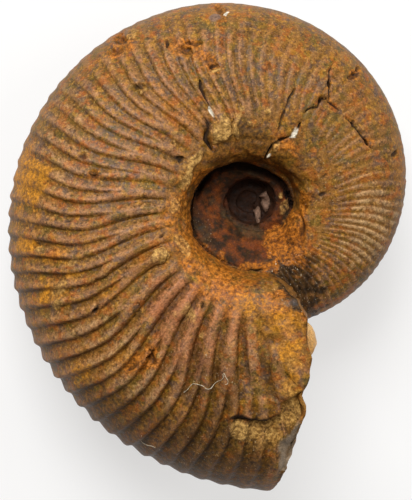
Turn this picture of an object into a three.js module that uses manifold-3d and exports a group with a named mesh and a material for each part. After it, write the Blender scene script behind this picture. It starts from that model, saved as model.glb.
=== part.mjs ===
// Ammonite fossil: the natural stone cast of one coiled shell, lying on its flank.
// Millimetres, +Z up. The origin is under the middle of the fossil, on the surface that it rests on.
// The coil is drawn flat first, with its axis along Z and the first whorl to the right of the pole at 0 degrees.

import * as THREE from 'three';
import { ParametricGeometry } from 'three/addons/geometries/ParametricGeometry.js';
import { mergeVertices } from 'three/addons/utils/BufferGeometryUtils.js';
import Module from 'manifold-3d';

const wasm = await Module();
wasm.setup();

const { clamp, degToRad, lerp, smoothstep } = THREE.MathUtils;

// The coil. Every length grows by WHORL_GROWTH in one turn, so that the shell keeps its shape.
const APERTURE_RADIUS = 36.4; // pole to venter at APERTURE_ANGLE
const APERTURE_ANGLE = 275;
const WHORL_GROWTH = 2.314;

// The whorl section, in parts of the outer radius at that angle.
const CENTRE = 0.48; // where the whorl is widest
const HALF_WIDTH = 0.385;
const VENTER_DEPTH = 0.52; // from the widest place out to the venter
const VENTER_POWER = 2.2;
const UMBILICAL_DEPTH = 0.2362; // from the widest place in to the seam
const UMBILICAL_POWER = 4.5;

// The ribs. Each primary rib starts at the umbilical shoulder and forks into two secondaries.
const SECONDARY_SPACING = 4.3; // degrees
const RIB_BULGE = 3.6; // degrees that a rib runs forward at the middle of the flank
const RIB_REACH = 0.62; // from the venter in to where the primaries start, in outer radii
const FORK_FROM = 0.65;
const FORK_TO = 0.5;
const RIB_HEIGHT = 0.0095; // half of crest to furrow at the aperture, in outer radii
const FIRST_RIB_ANGLE = -70; // the ribs grow in from here on

// The broken mouth of the body chamber: [outer radii, degrees], from the venter in to the seam.
const BREAK_LINE = [
  [1.04, 274],
  [0.83, 279.5],
  [0.63, 285],
  [0.49, 291.5],
  [0.4, 294.4],
  [0.3, 293],
  [0.25, 288],
  [0.2, 284],
];

// The coil in stretches: [from, to, steps along, steps round]. A ribbed stretch has two steps to each
// secondary rib, the first two share their end ring, and the smooth inner whorls run into the next one.
const HALF_RIB = SECONDARY_SPACING / 2;
const BODY_CHAMBER = [52 * HALF_RIB, 140 * HALF_RIB, 88, 20];
const EARLIER_STRETCHES = [
  [-32 * HALF_RIB, 52 * HALF_RIB, 84, 20],
  [-417, -64, 36, 10],
  [-762, -409, 20, 8],
];
const FIRST_CHAMBER_RADIUS = 2.3;
const FIRST_CHAMBER_HALF_WIDTH = 1.1;

// How it lies: the coil axis leans until the lower flank touches at three places, which are worn flat.
const LEAN_ANGLE = 8.2; // degrees from upright
const LEAN_TOWARDS = 121; // degrees round the coil
const CONTACT_WEAR = 0.3;

const STONE = new THREE.MeshStandardMaterial({ color: 0x7a5030, roughness: 0.55, metalness: 0 });

const outerRadius = (degrees) =>
  APERTURE_RADIUS * WHORL_GROWTH ** ((degrees - APERTURE_ANGLE) / 360);

// One point of the section, in outer radii: turn 0 is the venter, and a quarter turn is the widest place.
function sectionPoint(turn) {
  const c = Math.cos(2 * Math.PI * turn);
  const s = Math.sin(2 * Math.PI * turn);
  const depth = c > 0 ? VENTER_DEPTH : UMBILICAL_DEPTH;
  const power = 2 / (c > 0 ? VENTER_POWER : UMBILICAL_POWER);
  return new THREE.Vector2(
    CENTRE + depth * Math.sign(c) * Math.abs(c) ** power,
    HALF_WIDTH * Math.sign(s) * Math.abs(s) ** power,
  );
}

// How far forward the rib lines run at this distance from the pole, in degrees.
const ribBulge = (radius) =>
  RIB_BULGE * Math.sin(Math.PI * clamp((1 - radius) / RIB_REACH, 0, 1)) ** 2;

// Height of the ribs over the plain section, in outer radii.
function ribHeight(degrees, radius) {
  const phase = (2 * Math.PI * degrees) / SECONDARY_SPACING;
  const forked = smoothstep(radius, FORK_TO, FORK_FROM);
  const wave = lerp(Math.sin(phase / 2), Math.cos(phase), forked);
  const growth = smoothstep(degrees, FIRST_RIB_ANGLE, APERTURE_ANGLE);
  const fade = smoothstep(radius, 1 - RIB_REACH - 0.05, 1 - RIB_REACH + 0.05);
  return RIB_HEIGHT * growth * fade * wave;
}

// A point on the coil. Scale 1 is its surface and 0 the middle of the section.
function coilPoint(degrees, turn, scale, target) {
  const plain = sectionPoint(turn);
  const outward = new THREE.Vector2(plain.x - CENTRE, plain.y).normalize();
  const section = plain.addScaledVector(outward, ribHeight(degrees, plain.x));
  const radius = lerp(CENTRE, section.x, scale) * outerRadius(degrees);
  const width = section.y * scale * outerRadius(degrees);
  const angle = degToRad(degrees + ribBulge(plain.x) * scale);
  target.set(radius * Math.cos(angle), radius * Math.sin(angle), width);
}

function solidFrom(geometry) {
  const bare = geometry.clone();
  bare.deleteAttribute('normal');
  bare.deleteAttribute('uv');
  const merged = mergeVertices(bare, 1e-4);
  const index = Array.from(merged.index.array);
  const triangles = [];
  for (let i = 0; i < index.length; i += 3) {
    const [a, b, c] = index.slice(i, i + 3);
    if (a !== b && b !== c && c !== a) triangles.push(a, b, c);
  }
  const mesh = new wasm.Mesh({
    numProp: 3,
    vertProperties: new Float32Array(merged.attributes.position.array),
    triVerts: new Uint32Array(triangles),
  });
  return new wasm.Manifold(mesh);
}

function geometryFrom(solid) {
  const { vertProperties, triVerts } = solid.getMesh();
  const geometry = new THREE.BufferGeometry();
  geometry.setAttribute('position', new THREE.BufferAttribute(vertProperties, 3));
  geometry.setIndex(new THREE.BufferAttribute(triVerts, 1));
  geometry.computeVertexNormals();
  return geometry;
}

// A closed stretch of the coil. The first and last steps along it are its end caps.
function coilStretch([from, to, along, round]) {
  const surface = (u, v, target) => {
    const step = Math.round(u * (along + 2)) - 1;
    const degrees = lerp(from, to, clamp(step, 0, along) / along);
    const isCap = step < 0 || step > along;
    coilPoint(degrees, v % 1, isCap ? 0 : 1, target);
  };
  return solidFrom(new ParametricGeometry(surface, along + 2, round));
}

// What is missing beyond the broken mouth, as one upright block.
function missingBlock() {
  const outline = BREAK_LINE.map(([radius, degrees]) => {
    const reach = radius * outerRadius(degrees);
    return new THREE.Vector2(reach * Math.cos(degToRad(degrees)), reach * Math.sin(degToRad(degrees)));
  });
  outline.push(new THREE.Vector2(APERTURE_RADIUS, 0));
  outline.push(new THREE.Vector2(APERTURE_RADIUS, -2 * APERTURE_RADIUS));
  outline.push(new THREE.Vector2(0, -2 * APERTURE_RADIUS));
  const depth = 2 * APERTURE_RADIUS;
  const block = new THREE.ExtrudeGeometry(new THREE.Shape(outline), { depth, bevelEnabled: false });
  return solidFrom(block.translate(0, 0, -depth / 2));
}

function coil() {
  let whole = coilStretch(BODY_CHAMBER).subtract(missingBlock());
  for (const stretch of EARLIER_STRETCHES) whole = whole.add(coilStretch(stretch));
  const firstChamber = new THREE.SphereGeometry(FIRST_CHAMBER_RADIUS, 12, 8);
  firstChamber.scale(1, 1, FIRST_CHAMBER_HALF_WIDTH / FIRST_CHAMBER_RADIUS);
  return whole.add(solidFrom(firstChamber));
}

// Leans the coil, wears its lowest places flat at Z 0, and centres it over the origin.
function laidDown(solid) {
  const geometry = geometryFrom(solid);
  const towards = degToRad(LEAN_TOWARDS);
  const leanAxis = new THREE.Vector3(-Math.sin(towards), Math.cos(towards), 0);
  const lean = new THREE.Matrix4().makeRotationAxis(leanAxis, degToRad(LEAN_ANGLE));
  geometry.applyMatrix4(lean);
  geometry.computeBoundingBox();
  const { min, max } = geometry.boundingBox;
  geometry.translate(-(min.x + max.x) / 2, -(min.y + max.y) / 2, -min.z - CONTACT_WEAR);
  const size = 4 * APERTURE_RADIUS;
  const above = new THREE.BoxGeometry(size, size, size).translate(0, 0, size / 2);
  return geometryFrom(solidFrom(geometry).intersect(solidFrom(above)));
}

const group = new THREE.Group();
const ammonite = new THREE.Mesh(laidDown(coil()), STONE);
ammonite.name = 'ammonite';
group.add(ammonite);

export default group;
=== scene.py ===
"""The look of an ammonite fossil: a brown limonite-stained stone cast, lying on its flank.

The coil is drawn flat first, in metres, with its axis along Z, its pole at the origin and 0 degrees to
the right of the pole. It is then laid down as the CAD node lies. Places on the shell are given as
degrees round the coil and outer radii, the distance from the pole over that of the venter there.
"""

import math
from types import SimpleNamespace

import bmesh
import bpy
import numpy as np
from mathutils import Matrix, Vector


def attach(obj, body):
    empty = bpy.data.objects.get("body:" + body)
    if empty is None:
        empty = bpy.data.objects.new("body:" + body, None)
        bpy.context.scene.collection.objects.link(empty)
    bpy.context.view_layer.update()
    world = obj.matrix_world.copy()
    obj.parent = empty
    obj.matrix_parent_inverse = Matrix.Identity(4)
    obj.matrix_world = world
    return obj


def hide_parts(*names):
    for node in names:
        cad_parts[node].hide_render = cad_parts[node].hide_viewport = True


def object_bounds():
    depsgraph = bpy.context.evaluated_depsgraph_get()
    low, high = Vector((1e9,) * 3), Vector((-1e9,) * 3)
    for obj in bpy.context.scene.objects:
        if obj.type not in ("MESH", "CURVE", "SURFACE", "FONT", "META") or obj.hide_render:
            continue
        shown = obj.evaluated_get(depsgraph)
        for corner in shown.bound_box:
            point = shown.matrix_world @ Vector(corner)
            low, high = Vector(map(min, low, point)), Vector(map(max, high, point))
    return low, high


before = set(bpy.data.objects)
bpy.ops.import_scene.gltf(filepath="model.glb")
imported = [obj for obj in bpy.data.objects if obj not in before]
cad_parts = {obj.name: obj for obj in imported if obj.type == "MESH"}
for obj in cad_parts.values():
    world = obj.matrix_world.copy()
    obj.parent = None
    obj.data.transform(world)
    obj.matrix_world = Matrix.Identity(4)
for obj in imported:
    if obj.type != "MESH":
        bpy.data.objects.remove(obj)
CAD_LOW, CAD_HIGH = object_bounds()
MM = 0.001

# The coil, as the CAD node has it.
APERTURE_RADIUS = 36.4 * MM
APERTURE_ANGLE = 275.0
WHORL_GROWTH = 2.314
CENTRE = 0.48
HALF_WIDTH = 0.385
VENTER_DEPTH = 0.52
VENTER_POWER = 2.2
UMBILICAL_DEPTH = 0.2362
UMBILICAL_POWER = 4.5
RIB_SPACING = 4.3
RIB_HEIGHT = 0.0095
RIB_BULGE = 3.6
RIB_REACH = 0.62
LEAN_ANGLE = math.radians(8.2)
LEAN_TOWARDS = math.radians(121)
CONTACT_WEAR = 0.3 * MM
FIRST_CHAMBER_RADIUS = 2.3 * MM
FIRST_CHAMBER_HALF_WIDTH = 1.1 * MM

# The broken mouth: (outer radii, degrees), from the seam out to the venter.
BREAK_LINE = [
    (0.17, 282.5), (0.21, 284.0), (0.248, 287.1), (0.272, 291.4), (0.309, 293.5), (0.335, 293.6),
    (0.366, 294.4), (0.409, 291.9), (0.443, 290.4), (0.492, 289.9), (0.525, 288.1), (0.549, 286.8),
    (0.585, 284.4), (0.607, 283.5), (0.641, 283.7), (0.673, 282.8), (0.711, 281.3), (0.803, 278.8),
    (0.868, 277.2), (0.907, 275.9), (0.97, 274.3), (1.04, 272.5),
]
BREAK_FROM, BREAK_TO = 270, 300
BROKEN_AFTER = 262  # degrees that no point of the broken face is before
NEAR_MOUTH = 240  # degrees from which the upper flank counts as part of the mouth
CORE_PLACE = (0.46, 0.19)  # the core of paler stone in the broken face: outer radii from the pole and up

# Degrees at which the coil starts, at which the last whorl is out from under its mouth, and at which its
# body chamber starts and would end if it were whole.
COIL_FROM = -780.0
LAST_WHORL_FROM = -66.0
BODY_CHAMBER_FROM = 26 * RIB_SPACING
COIL_TO = 304.0

# The umbilical edge is a little oval and off the middle: by how much, in outer radii, and which way.
UMBILICUS_OVAL = 0.024
UMBILICUS_SHIFT = 0.012
UMBILICUS_SHIFT_TOWARDS = math.radians(50)
UMBILICUS_WIDENING = -0.005

# The ribs of this shell: how much closer they are on the first part of the whorl, how far they wander from
# their even spacing, and how much steeper they are on the side towards the mouth (radians).
CLOSER_AT_FIRST = 0.2
RIB_WANDER = 1.7
RIB_LOPSIDE = 0.4

WELD_DISTANCE = 0.002 * MM
SLIVER_FACES = 100.0  # a loose bit of mesh with fewer faces isn't part of the shell
FINENESS = 1.0
MOST_TRIANGLES = 195000
MATH = "ShaderNodeMath"
RANGE = "ShaderNodeMapRange"
MIX = "ShaderNodeMix"
NOISE = "ShaderNodeTexNoise"


def linear(colour):
    """An sRGB hex colour as linear RGBA."""
    channels = [int(colour[i:i + 2], 16) / 255 for i in (1, 3, 5)]
    return (*(c / 12.92 if c <= 0.04045 else ((c + 0.055) / 1.055) ** 2.4 for c in channels), 1.0)


def add(tree, kind, inputs=(), **settings):
    """Adds one node with its settings.

    inputs gives values, sockets or nodes to the node's own sockets, by their place or name.
    """
    node = tree.nodes.new(kind)
    for name, value in settings.items():
        setattr(node, name, value)
    live = [socket for socket in node.inputs if socket.enabled]
    named = inputs.items() if isinstance(inputs, dict) else enumerate(inputs)
    for key, value in named:
        socket = live[key] if isinstance(key, int) else next(s for s in live if s.name == key)
        if isinstance(value, bpy.types.Node):
            value = next(s for s in value.outputs if s.enabled)
        if isinstance(value, bpy.types.NodeSocket):
            tree.links.new(value, socket)
        else:
            socket.default_value = value
    return node


def take_inputs(tree, inputs):
    """Declares a tree's inputs, as {name: first value}, and returns their sockets inside the tree."""
    for name, value in inputs.items():
        kind = "NodeSocketInt" if isinstance(value, int) else "NodeSocketFloat"
        tree.interface.new_socket(name, in_out="INPUT", socket_type=kind).default_value = value
    tree.interface.new_socket("Mesh", in_out="OUTPUT", socket_type="NodeSocketGeometry")
    return add(tree, "NodeGroupInput").outputs


COIL_INPUTS = {
    "Aperture radius": APERTURE_RADIUS,
    "Whorl growth": WHORL_GROWTH,
    "Half width": HALF_WIDTH,
    "Rib spacing": RIB_SPACING,
    "Rib height": RIB_HEIGHT,
}
STRETCH_INPUTS = {
    "From": 0.0,
    "To": 90.0,
    "Steps along": 100,
    "Steps round": 100,
    "Steps across the end": 1,
    "Broken mouth": 0.0,
}


def draw_break_line(mapping):
    """Sets a float curve to the broken mouth: outer radii in, and the share of the way to BREAK_TO out."""
    curve = mapping.curves[0]
    mapping.use_clip = False
    for place, (radius, degrees) in enumerate(BREAK_LINE):
        share = (degrees - BREAK_FROM) / (BREAK_TO - BREAK_FROM)
        if place < 2:
            curve.points[place].location = (radius, share)
        else:
            curve.points.new(radius, share)
        curve.points[place].handle_type = "VECTOR"
    mapping.update()


def umbilicus_wobble(tree, degrees):
    """How far the umbilical edge is out of a true spiral at this angle, in outer radii."""
    angle = add(tree, MATH, [degrees], operation="RADIANS")
    twice = add(tree, MATH, [add(tree, MATH, [angle, 2.0], operation="MULTIPLY")], operation="COSINE")
    once = add(tree, MATH, [angle, UMBILICUS_SHIFT_TOWARDS], operation="ADD")
    once = add(tree, MATH, [once], operation="COSINE")
    wobble = add(tree, MATH, [twice, UMBILICUS_OVAL, UMBILICUS_WIDENING], operation="MULTIPLY_ADD")
    return add(tree, MATH, [once, UMBILICUS_SHIFT, wobble], operation="MULTIPLY_ADD")


def whorl_section(tree, turn, degrees, half_width):
    """A rounded arch over the venter, whose flanks close in again to the seam.

    turn runs from 0 to 1, from the venter round to it again. What comes out, in outer radii, is how far the
    section reaches from its widest place towards the venter, and its width.
    """
    round_angle = add(tree, MATH, [turn, math.tau], operation="MULTIPLY")
    cosine = add(tree, MATH, [round_angle], operation="COSINE")
    sine = add(tree, MATH, [round_angle], operation="SINE")
    is_outer = add(tree, MATH, [cosine, 0.0], operation="GREATER_THAN")
    narrowing = add(tree, MATH, [UMBILICAL_DEPTH, umbilicus_wobble(tree, degrees)], operation="SUBTRACT")
    depth = add(tree, MIX, [is_outer, narrowing, VENTER_DEPTH], data_type="FLOAT")
    power = add(tree, MIX, [is_outer, 2 / UMBILICAL_POWER, 2 / VENTER_POWER], data_type="FLOAT")
    reach = add(tree, MATH, [add(tree, MATH, [cosine], operation="ABSOLUTE"), power], operation="POWER")
    reach = add(tree, MATH, [reach, add(tree, MATH, [cosine], operation="SIGN")], operation="MULTIPLY")
    reach = add(tree, MATH, [reach, depth], operation="MULTIPLY")
    width = add(tree, MATH, [add(tree, MATH, [sine], operation="ABSOLUTE"), power], operation="POWER")
    width = add(tree, MATH, [width, add(tree, MATH, [sine], operation="SIGN")], operation="MULTIPLY")
    width = add(tree, MATH, [width, half_width], operation="MULTIPLY")
    return reach, width


def rib_bulge(tree, radius):
    """How far forward the rib lines run at the middle of the flank, in degrees."""
    bulge = add(tree, RANGE, [radius, 1.0, 1 - RIB_REACH, 0.0, math.pi])
    bulge = add(tree, MATH, [add(tree, MATH, [bulge], operation="SINE"), 2.0], operation="POWER")
    return add(tree, MATH, [bulge, RIB_BULGE], operation="MULTIPLY")


def broken_mouth(tree, inward, height):
    """Degrees at which the coil breaks off: a ragged line, and a rough face whose core bulges out of it."""
    break_at = add(tree, "ShaderNodeFloatCurve", {"Value": inward})
    draw_break_line(break_at.mapping)
    break_at = add(tree, RANGE, [break_at, 0.0, 1.0, BREAK_FROM, BREAK_TO])
    place = add(tree, "ShaderNodeCombineXYZ", [inward, height, 0.0])
    torn_place = add(tree, "ShaderNodeVectorMath", [place, (0, 0, 0.37)], operation="ADD")
    for size, throw in ((0.2, 1.4), (0.07, 1.4), (0.025, 0.6)):
        ragged = add(tree, NOISE, {"Vector": torn_place, "Scale": 1 / size, "Detail": 1.0})
        ragged = add(tree, MATH, [ragged, 0.5], operation="SUBTRACT")
        break_at = add(tree, MATH, [ragged, throw, break_at], operation="MULTIPLY_ADD")
    core = add(tree, "ShaderNodeVectorMath", [place, (*CORE_PLACE, 0)], operation="DISTANCE")
    core = add(tree, RANGE, [core.outputs["Value"], 0.01, 0.10, 5.8, 0.0], interpolation_type="SMOOTHSTEP")
    return add(tree, MATH, [break_at, core], operation="ADD")


def rib_phase(tree, line, wander, spacing):
    """Which part of a rib a place is on, as an angle that grows by a turn from one secondary to the next."""
    first_part = add(tree, MATH, [line, 0.0], operation="MINIMUM")
    phase = add(tree, MATH, [first_part, CLOSER_AT_FIRST, line], operation="MULTIPLY_ADD")
    phase = add(tree, MATH, [phase, spacing], operation="DIVIDE")
    phase = add(tree, MATH, [phase, math.tau, wander], operation="MULTIPLY_ADD")
    steeper = add(tree, MATH, [phase], operation="COSINE")
    return add(tree, MATH, [steeper, RIB_LOPSIDE, phase], operation="MULTIPLY_ADD")


def rib_wave(tree, phase, forked):
    """The relief of the ribs from -1 to 1. The crest of a primary parts into two arms."""
    from_crest = add(tree, MATH, [phase, math.tau], operation="PINGPONG")
    arm = add(tree, MATH, [forked, math.pi], operation="MULTIPLY")
    apart = add(tree, MATH, [from_crest, arm], operation="SUBTRACT")
    apart = add(tree, MATH, [apart], operation="ABSOLUTE")
    farthest = add(tree, RANGE, [forked, 0.0, 1.0, math.tau, math.pi])
    apart = add(tree, MATH, [apart, farthest], operation="DIVIDE")
    apart = add(tree, MATH, [apart, 1.0], operation="MINIMUM")
    wave = add(tree, MATH, [add(tree, MATH, [apart, math.pi], operation="MULTIPLY")], operation="COSINE")
    wave = add(tree, RANGE, [wave, -1.0, 1.0, 0.0, 1.0])
    wave = add(tree, MATH, [wave, add(tree, RANGE, [forked, 0.0, 1.0, 0.8, 1.1])], operation="POWER")
    return add(tree, RANGE, [wave, 0.0, 1.0, -1.0, 1.0])


def rib_foot(tree, phase, forked):
    """The foot of each rib, on its steeper side: a thin line for grime and for painted shade under the
    crest.
    """
    feet = []
    for period, start, half_width in ((2 * math.tau, 0.0, 0.07), (math.tau, 0.5, 0.13)):
        across = add(tree, MATH, [phase, 1 / period, start], operation="MULTIPLY_ADD")
        across = add(tree, MATH, [add(tree, MATH, [across], operation="FRACT"), 0.37], operation="SUBTRACT")
        across = add(tree, MATH, [across], operation="ABSOLUTE")
        feet.append(add(tree, RANGE, [across, 0.25 * half_width, half_width, 1.0, 0.0]))
    return add(tree, MIX, [forked, *feet], data_type="FLOAT")


def rib_strength(tree, line, radius, patches, forked):
    """How high worn ribs stand: faint on the first half of the whorl, and low along the late venter."""
    strength = add(tree, RANGE, [line, 70.0, 125.0, 0.22, 0.46], interpolation_type="SMOOTHSTEP")
    for low, high, first, last in ((150.0, 225.0, 0.0, 0.6), (5.0, 35.0, 0.15, 0.04)):
        more = add(tree, RANGE, [line, low, high, first, last], interpolation_type="SMOOTHSTEP")
        strength = add(tree, MATH, [strength, more], operation="ADD")
    start = add(tree, RANGE, [line, 60.0, 130.0, -0.12, 0.0])
    start = add(tree, MATH, [radius, start], operation="ADD")
    start = add(tree, RANGE, [start, 0.33, 0.45, 0.0, 1.0], interpolation_type="SMOOTHSTEP")
    on_venter = add(tree, RANGE, [radius, 0.8, 0.96, 0.0, 1.0], interpolation_type="SMOOTHSTEP")
    early = add(tree, MATH, [
        add(tree, RANGE, [line, 85.0, 170.0, 0.85, 0.0], interpolation_type="SMOOTHSTEP"),
        add(tree, RANGE, [line, 5.0, 30.0, 0.1, 1.0], interpolation_type="SMOOTHSTEP"),
    ], operation="MULTIPLY")
    near_mouth = add(tree, RANGE, [line, 262.0, 273.0, 0.0, 0.85], interpolation_type="SMOOTHSTEP")
    on_flank = add(tree, RANGE, [radius, 0.55, 0.78, 1.0, 0.5], interpolation_type="SMOOTHSTEP")
    on_edge = add(tree, RANGE, [radius, 0.84, 1.0, 0.0, 1.0], interpolation_type="SMOOTHSTEP")
    late = add(tree, RANGE, [line, 235.0, 265.0, 0.4, 0.75], interpolation_type="SMOOTHSTEP")
    for worn in ((on_venter, early), (near_mouth, on_flank), (on_edge, late)):
        worn = add(tree, MATH, list(worn), operation="MULTIPLY")
        worn = add(tree, MATH, [1.0, worn], operation="SUBTRACT")
        strength = add(tree, MATH, [strength, worn], operation="MULTIPLY")
    uneven = add(tree, RANGE, [patches, 0.35, 0.65, 0.7, 1.25])
    primary = add(tree, RANGE, [forked, 0.0, 1.0, 1.5, 1.0])
    for factor in (start, uneven, primary):
        strength = add(tree, MATH, [strength, factor], operation="MULTIPLY")
    return strength


def place_on_coil(tree, given, section, rise, scale, line):
    """Section to place: lifted by the rib, scaled by the outer radius, and turned round the coil axis."""
    outward = add(tree, "ShaderNodeVectorMath", [section], operation="NORMALIZE")
    lift = add(tree, "ShaderNodeVectorMath", {"Vector": outward, "Scale": rise}, operation="SCALE")
    lifted = add(tree, "ShaderNodeVectorMath", [section, lift], operation="ADD")
    lifted = add(tree, "ShaderNodeVectorMath", {"Vector": lifted, "Scale": scale}, operation="SCALE")
    lifted = add(tree, "ShaderNodeVectorMath", [lifted, (CENTRE, 0, 0)], operation="ADD")
    turns = add(tree, MATH, [line, APERTURE_ANGLE], operation="SUBTRACT")
    turns = add(tree, MATH, [turns, 360.0], operation="DIVIDE")
    venter = add(tree, MATH, [given["Whorl growth"], turns], operation="POWER")
    venter = add(tree, MATH, [venter, given["Aperture radius"]], operation="MULTIPLY")
    place = add(tree, "ShaderNodeVectorMath", {"Vector": lifted, "Scale": venter}, operation="SCALE")
    angle = add(tree, MATH, [line], operation="RADIANS")
    return add(tree, "ShaderNodeVectorRotate", {"Vector": place, "Angle": angle}, rotation_type="Z_AXIS")


def stretch_tree():
    """One closed, ribbed stretch of the coil: a grid wound round the section and along the spiral."""
    tree = bpy.data.node_groups.new("coil stretch", "GeometryNodeTree")
    given = take_inputs(tree, STRETCH_INPUTS | COIL_INPUTS)

    # The grid runs along the coil in X, one unit a step, and round it in Y. Its first column is an end cap.
    columns = add(tree, MATH, [given["Steps along"], given["Steps across the end"]], operation="ADD")
    columns = add(tree, MATH, [columns, 1.0], operation="ADD")
    grid = add(tree, "GeometryNodeMeshGrid", {
        "Size X": columns,
        "Size Y": 1.0,
        "Vertices X": add(tree, MATH, [columns, 1.0], operation="ADD"),
        "Vertices Y": add(tree, MATH, [given["Steps round"], 1.0], operation="ADD"),
    })
    flat = add(tree, "ShaderNodeSeparateXYZ", [add(tree, "GeometryNodeInputPosition")])
    step = add(tree, MATH, [columns, 0.5, flat.outputs["X"]], operation="MULTIPLY_ADD")
    last = add(tree, MATH, [given["Steps along"], 1.0], operation="ADD")
    degrees = add(tree, RANGE, [step, 1.0, last, given["From"], given["To"]])
    opening = add(tree, RANGE, [step, 0.0, 1.0, 0.0, 1.0])
    closing = add(tree, RANGE, [step, last, columns, 1.0, 0.0])
    scale = add(tree, MATH, [opening, closing], operation="MINIMUM")

    # The section, and the lines that the ribs follow.
    turn = add(tree, MATH, [flat.outputs["Y"], 0.5], operation="ADD")
    reach, width = whorl_section(tree, turn, degrees, given["Half width"])
    radius = add(tree, MATH, [reach, CENTRE], operation="ADD")
    bulge = add(tree, MATH, [rib_bulge(tree, radius), scale], operation="MULTIPLY")
    line = add(tree, MATH, [degrees, bulge], operation="ADD")

    # The broken mouth, which only the body chamber has.
    inward = add(tree, MATH, [reach, scale, CENTRE], operation="MULTIPLY_ADD")
    height = add(tree, MATH, [width, scale], operation="MULTIPLY")
    whole = add(tree, MATH, [1.0, given["Broken mouth"]], operation="SUBTRACT")
    break_at = add(tree, MATH, [whole, 360.0, broken_mouth(tree, inward, height)], operation="MULTIPLY_ADD")
    line = add(tree, MATH, [line, break_at], operation="MINIMUM")
    broken = add(tree, MATH, [closing, 1.0], operation="LESS_THAN")

    # How far each rib has wandered, and how far out it forks.
    unrolled = add(tree, "ShaderNodeCombineXYZ", [
        add(tree, MATH, [line, 1 / 18], operation="MULTIPLY"),
        add(tree, MATH, [radius, 2.5], operation="MULTIPLY"),
        add(tree, MATH, [width, 2.5], operation="MULTIPLY"),
    ])
    wander = add(tree, NOISE, {"Vector": unrolled, "Scale": 1.0, "Detail": 1.0})
    wander = add(tree, RANGE, [wander, 0.0, 1.0, -RIB_WANDER, RIB_WANDER])
    patches = add(tree, NOISE, {"Vector": unrolled, "Scale": 2.1, "Detail": 1.0})
    fork_shift = add(tree, RANGE, [patches, 0.3, 0.7, 0.05, -0.05])
    early_fork = add(tree, RANGE, [line, 95.0, 175.0, 0.14, 0.0], interpolation_type="SMOOTHSTEP")
    fork_shift = add(tree, MATH, [fork_shift, early_fork], operation="ADD")
    fork_radius = add(tree, MATH, [radius, fork_shift], operation="ADD")
    forked = add(tree, RANGE, [fork_radius, 0.47, 0.68, 0.0, 1.0], interpolation_type="SMOOTHSTEP")

    # The ribs.
    straight_line = add(tree, MATH, [line, bulge], operation="SUBTRACT")
    phase = rib_phase(tree, straight_line, wander, given["Rib spacing"])
    wave = rib_wave(tree, phase, forked)
    strength = rib_strength(tree, line, radius, patches, forked)
    rib = add(tree, MATH, [wave, strength], operation="MULTIPLY")
    rise = add(tree, MATH, [rib, given["Rib height"]], operation="MULTIPLY")
    section = add(tree, "ShaderNodeCombineXYZ", [reach, 0.0, width])
    place = place_on_coil(tree, given, section, rise, scale, line)

    # What the weathering and the stone's material need to know.
    marked = grid
    for name, value in (
        ("rib", wave), ("foot", rib_foot(tree, phase, forked)), ("strength", strength),
        ("degrees", line), ("reach", inward), ("broken", broken),
    ):
        marked = add(tree, "GeometryNodeStoreNamedAttribute", {
            "Geometry": marked, "Name": name, "Value": value,
        })
    wound = add(tree, "GeometryNodeSetPosition", {"Geometry": marked, "Position": place})
    closed = add(tree, "GeometryNodeMergeByDistance", {"Geometry": wound, "Distance": WELD_DISTANCE})
    add(tree, "NodeGroupOutput", [closed])
    return tree


def steps(count):
    return round(count * FINENESS)


def coil_tree(material):
    """The whole coil: four stretches and the first chamber, joined to one solid."""
    tree = bpy.data.node_groups.new("ammonite coil", "GeometryNodeTree")
    given = take_inputs(tree, COIL_INPUTS)
    stretch = stretch_tree()
    parts = []

    # Each row is one stretch, in the order of STRETCH_INPUTS.
    for values in (
        (BODY_CHAMBER_FROM, COIL_TO, steps(640), steps(480), steps(100), 1.0),
        (-75.0, BODY_CHAMBER_FROM, steps(470), steps(480), 1, 0.0),
        (-432.0, -75.0, steps(330), steps(480), 1, 0.0),
        (COIL_FROM, -432.0, steps(160), steps(480), 1, 0.0),
    ):
        parts.append(add(tree, "GeometryNodeGroup", node_tree=stretch))
        for name, value in zip(STRETCH_INPUTS, values):
            parts[-1].inputs[name].default_value = value
        for name in COIL_INPUTS:
            tree.links.new(given[name], parts[-1].inputs[name])
    sphere = add(tree, "GeometryNodeMeshUVSphere", {
        "Segments": 32, "Rings": 16, "Radius": FIRST_CHAMBER_RADIUS,
    })
    flattening = (1, 1, FIRST_CHAMBER_HALF_WIDTH / FIRST_CHAMBER_RADIUS)
    parts.append(add(tree, "GeometryNodeTransform", {"Geometry": sphere, "Scale": flattening}))
    union = add(tree, "GeometryNodeMeshBoolean", operation="UNION", solver="MANIFOLD")
    for part in parts:
        tree.links.new(part.outputs[0], union.inputs["Mesh 2"])
    realized = add(tree, "GeometryNodeRealizeInstances", [union])

    # The union leaves slivers of a few faces where two stretches meet.
    island = add(tree, "GeometryNodeInputMeshIsland").outputs["Island Index"]
    size = add(tree, "GeometryNodeAccumulateField", [1.0, island]).outputs["Total"]
    is_sliver = add(tree, MATH, [size, SLIVER_FACES], operation="LESS_THAN")
    whole = add(tree, "GeometryNodeDeleteGeometry", {"Geometry": realized, "Selection": is_sliver})
    smooth = add(tree, "GeometryNodeSetShadeSmooth", {"Geometry": whole, "Shade Smooth": True})
    painted = add(tree, "GeometryNodeSetMaterial", {"Geometry": smooth, "Material": material})
    add(tree, "NodeGroupOutput", [painted])
    return tree


def plain_mesh(name, thing):
    """A new object with the plain mesh that another object comes to, which is then removed."""
    evaluated = thing.evaluated_get(bpy.context.evaluated_depsgraph_get())
    mesh = bpy.data.meshes.new_from_object(evaluated)
    bpy.data.objects.remove(thing)
    mesh.name = name
    result = bpy.data.objects.new(name, mesh)
    bpy.context.collection.objects.link(result)
    return result


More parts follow.
